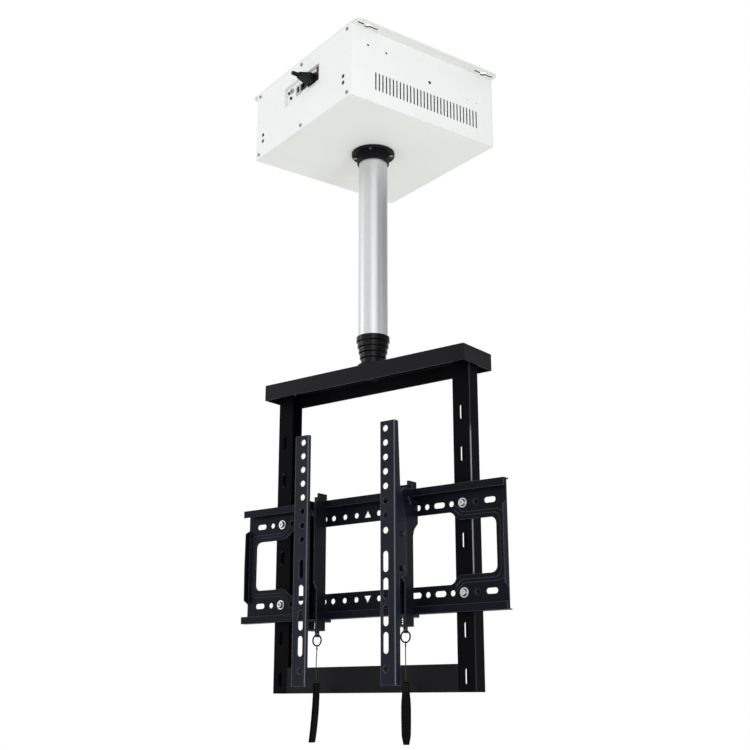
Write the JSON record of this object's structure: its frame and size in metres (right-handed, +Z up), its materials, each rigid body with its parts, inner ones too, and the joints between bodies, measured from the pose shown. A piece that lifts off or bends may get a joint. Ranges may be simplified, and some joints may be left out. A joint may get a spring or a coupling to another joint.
{
  "type": "ceiling tv lift mechanism",
  "caption": "Motorised ceiling lift for a flat screen: a boxed winch, a telescopic tube column, and a swivelling frame with tilting hook-on arms.",
  "frame": {"origin": "on the column axis at the ceiling, on the top face of the ceiling plate", "axes": "+Z up to the ceiling, +X along the cross beam to the right as seen from the screen side, -Y out of the screen side; the ceiling unit stands turned 16 degrees clockwise from above at rest"},
  "size_m": [0.627, 0.4536, 1.345],
  "materials": {
    "white_paint": "satin",
    "black_paint": "fine powder coat",
    "zinc": "zinc plated",
    "tube_aluminium": "satin anodised",
    "black_plastic": "matte",
    "red_plastic": "gloss",
    "port_metal": "plated",
    "board_green": "satin",
    "guide_nylon": "matte",
    "webbing": "woven"
  },
  "bodies": {
    "housing": {"ceiling_plate": "white_paint", "housing_tray": "white_paint", "panel_cover": "white_paint", "rear_cover": "white_paint", "housing_screws": "zinc", "io_panel": "white_paint", "inlet_module": "black_plastic", "mains_plug": "black_plastic", "data_socket": "black_plastic", "serial_port": "port_metal", "round_jack": "port_metal", "control_board": "board_green", "power_supply": "zinc", "winch_frame": "zinc", "gear_motor": "black_paint", "lift_strap": "webbing", "tube_flange": "black_plastic", "tube_1": "tube_aluminium", "collar_1": "black_plastic"},
    "drum": {"winch_drum": "zinc"},
    "switch": {"rocker": "red_plastic"},
    "up_key": {"up_button": "red_plastic"},
    "down_key": {"down_button": "black_plastic"},
    "stage_2": {"tube_2": "tube_aluminium", "collar_2": "black_plastic", "guide_2": "guide_nylon"},
    "stage_3": {"tube_3": "tube_aluminium", "collar_3": "black_plastic", "guide_3": "guide_nylon"},
    "stage_4": {"tube_4": "tube_aluminium", "collar_4": "black_plastic", "guide_4": "guide_nylon"},
    "stage_5": {"tube_5": "tube_aluminium", "collar_5": "black_plastic", "guide_5": "guide_nylon", "swivel_stud": "zinc", "swivel_nut": "zinc"},
    "frame": {"swivel_hub": "black_paint", "cross_beam": "black_paint", "left_post": "black_paint", "right_post": "black_paint", "frame_bolts": "zinc", "lower_crossbar": "black_paint", "wall_plate": "black_paint"},
    "left_hanger": {"left_bracket": "black_paint", "left_tilt_bolts": "zinc"},
    "right_hanger": {"right_bracket": "black_paint", "right_tilt_bolts": "zinc"},
    "left_screen_arm": {"left_arm": "black_paint"},
    "right_screen_arm": {"right_arm": "black_paint"},
    "left_catch": {"left_latch": "black_paint", "left_latch_spring": "zinc", "left_pull_ring": "black_paint", "left_pull_cord": "webbing", "left_pull_strap": "webbing"},
    "right_catch": {"right_latch": "black_paint", "right_latch_spring": "zinc", "right_pull_ring": "black_paint", "right_pull_cord": "webbing", "right_pull_strap": "webbing"}
  },
  "joints": [
    {"name": "lift", "type": "slide", "parent": "housing", "child": "stage_2", "axis": [0, 0, -1], "range_m": [0, 0.25], "deforming": ["lift_strap"]},
    {"name": "lift_3", "type": "slide", "parent": "stage_2", "child": "stage_3", "axis": [0, 0, -1], "range_m": [0, 0.25]},
    {"name": "lift_4", "type": "slide", "parent": "stage_3", "child": "stage_4", "axis": [0, 0, -1], "range_m": [0, 0.25]},
    {"name": "lift_5", "type": "slide", "parent": "stage_4", "child": "stage_5", "axis": [0, 0, -1], "range_m": [0, 0.25]},
    {"name": "drum_turn", "type": "hinge", "parent": "housing", "child": "drum", "pos_m": [0.03018, -0.00865, -0.048], "axis": [-0.2756, -0.9613, 0], "range_deg": [0, 1800]},
    {"name": "swivel", "type": "hinge", "parent": "stage_5", "child": "frame", "pos_m": [0, 0, -0.636], "axis": [0, 0, 1], "range_deg": [-170, 170]},
    {"name": "left_shift", "type": "slide", "parent": "frame", "child": "left_hanger", "axis": [1, 0, 0], "range_m": [-0.06, 0.06]},
    {"name": "right_shift", "type": "slide", "parent": "frame", "child": "right_hanger", "axis": [1, 0, 0], "range_m": [-0.06, 0.06]},
    {"name": "left_tilt", "type": "hinge", "parent": "left_hanger", "child": "left_screen_arm", "pos_m": [-0.104, -0.068, -0.979], "axis": [1, 0, 0], "range_deg": [-3, 8]},
    {"name": "right_tilt", "type": "hinge", "parent": "right_hanger", "child": "right_screen_arm", "pos_m": [0.104, -0.068, -0.979], "axis": [1, 0, 0], "range_deg": [-3, 8]},
    {"name": "left_release", "type": "slide", "parent": "left_hanger", "child": "left_catch", "axis": [0, 0, -1], "range_m": [0, 0.009], "stiffness_N_per_m": 600, "springref_m": -0.012, "deforming": ["left_latch_spring"]},
    {"name": "right_release", "type": "slide", "parent": "right_hanger", "child": "right_catch", "axis": [0, 0, -1], "range_m": [0, 0.009], "stiffness_N_per_m": 600, "springref_m": -0.012, "deforming": ["right_latch_spring"]},
    {"name": "switch_tip", "type": "hinge", "parent": "housing", "child": "switch", "pos_m": [0.00628, -0.18125, -0.052], "axis": [0.9613, -0.2756, 0], "range_deg": [-16, 0]},
    {"name": "up_press", "type": "slide", "parent": "housing", "child": "up_key", "axis": [0.2756, 0.9613, 0], "range_m": [0, 0.0015], "stiffness_N_per_m": 400, "springref_m": -0.002},
    {"name": "down_press", "type": "slide", "parent": "housing", "child": "down_key", "axis": [0.2756, 0.9613, 0], "range_m": [0, 0.0015], "stiffness_N_per_m": 400, "springref_m": -0.002}
  ],
  "couplings": [
    {"joint": "lift_3", "follows": "lift", "ratio": 1},
    {"joint": "lift_4", "follows": "lift", "ratio": 1},
    {"joint": "lift_5", "follows": "lift", "ratio": 1},
    {"joint": "drum_turn", "follows": "lift", "rad_per_m": 125}
  ]
}
